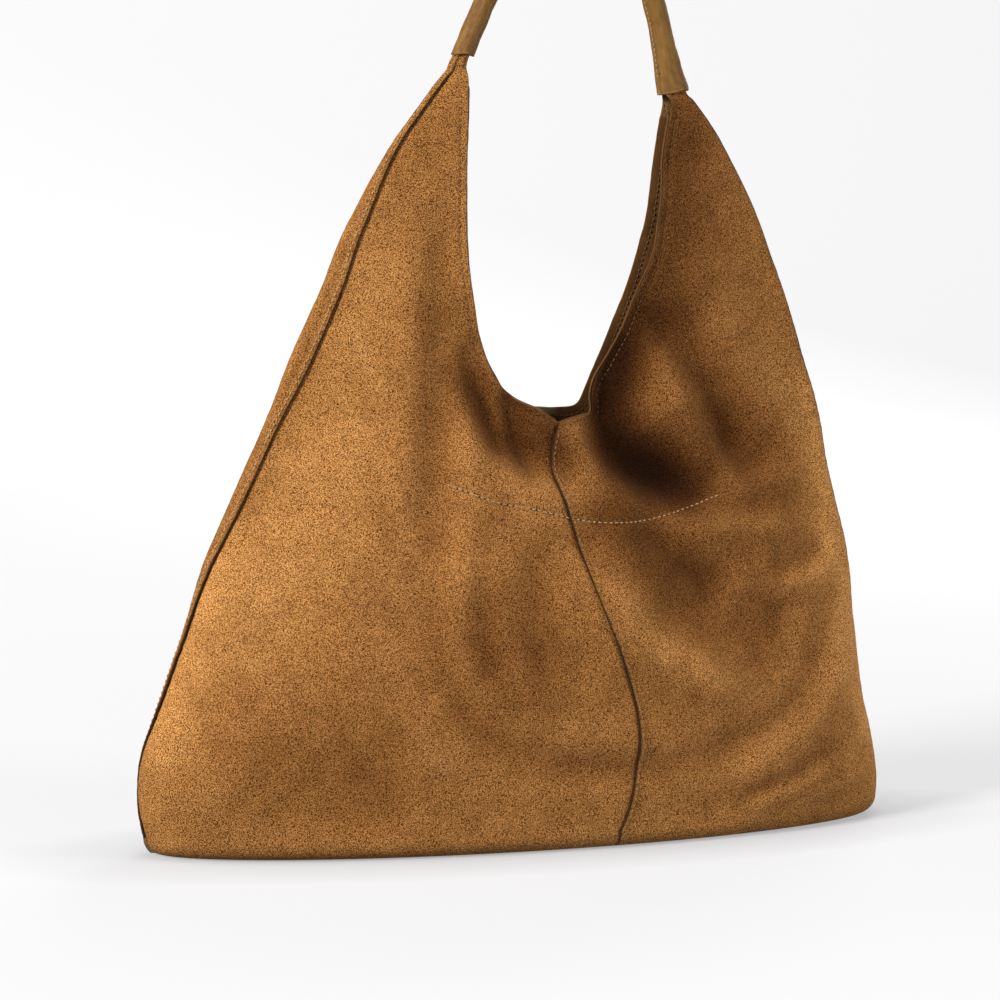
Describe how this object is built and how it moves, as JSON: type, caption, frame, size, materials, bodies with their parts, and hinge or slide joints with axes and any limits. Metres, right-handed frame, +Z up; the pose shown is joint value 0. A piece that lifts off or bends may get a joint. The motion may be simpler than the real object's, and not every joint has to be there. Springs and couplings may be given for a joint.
{
  "type": "hobo bag",
  "caption": "Slouchy open-topped suede shoulder bag with pointed horns, one tubular leather handle, a hanging zip pocket and a magnetic snap.",
  "frame": {"origin": "on the floor under the middle of the bag's box", "axes": "+X across the width to the wearer's-view right of the front, -Y out of the front, +Z up"},
  "size_m": [0.4872, 0.1462, 0.602],
  "materials": {
    "suede": "napped suede, matt",
    "handle_leather": "smooth grain leather, satin",
    "facing_leather": "fine leather, matt",
    "pocket_cloth": "woven cotton twill",
    "thread": "twisted polyester thread",
    "core": "cotton cord",
    "zip_metal": "antique brass",
    "snap_metal": "nickel plated"
  },
  "bodies": {
    "bag": {"back_centre_thread": "thread", "back_left_panel": "suede", "back_left_rim_facing": "facing_leather", "back_left_rim_thread": "thread", "back_right_panel": "suede", "back_right_rim_facing": "facing_leather", "back_right_rim_thread": "thread", "back_snap_patch": "facing_leather", "back_snap_washer": "snap_metal", "front_centre_thread": "thread", "front_left_panel": "suede", "front_left_rim_facing": "facing_leather", "front_left_rim_thread": "thread", "front_right_panel": "suede", "front_right_rim_facing": "facing_leather", "front_right_rim_thread": "thread", "front_snap_patch": "facing_leather", "front_snap_washer": "snap_metal", "left_side_thread": "thread", "pocket_header": "facing_leather", "pocket_thread": "thread", "right_side_thread": "thread", "snap_socket": "snap_metal", "snap_stud": "snap_metal"},
    "handle": {"handle_core": "core", "handle_cover": "handle_leather", "handle_thread": "thread"},
    "pocket": {"pocket_back_cloth": "pocket_cloth", "pocket_front_cloth": "pocket_cloth", "zip_left_stop": "zip_metal", "zip_lower_tape": "pocket_cloth", "zip_lower_teeth": "zip_metal", "zip_right_stop": "zip_metal", "zip_upper_tape": "pocket_cloth", "zip_upper_teeth": "zip_metal"},
    "zip_slider": {"zip_slider": "zip_metal"},
    "zip_puller": {"zip_puller": "zip_metal"}
  },
  "joints": [
    {"name": "handle_swing", "type": "hinge", "parent": "bag", "child": "handle", "pos_m": [-0.0415, 0, 0.486], "axis": [0.9929, 0, -0.1193], "range_deg": [-105, 105]},
    {"name": "pocket_swing", "type": "hinge", "parent": "bag", "child": "pocket", "pos_m": [0.03, -0.0303, 0.1896], "axis": [1, 0, 0], "range_deg": [-8, 33]},
    {"name": "zip_slide", "type": "slide", "parent": "pocket", "child": "zip_slider", "axis": [1, 0, 0], "range_m": [0, 0.154]},
    {"name": "puller_swing", "type": "hinge", "parent": "zip_slider", "child": "zip_puller", "pos_m": [-0.047, -0.0234, 0.177], "axis": [0, 0, -1], "range_deg": [0, 178]}
  ]
}
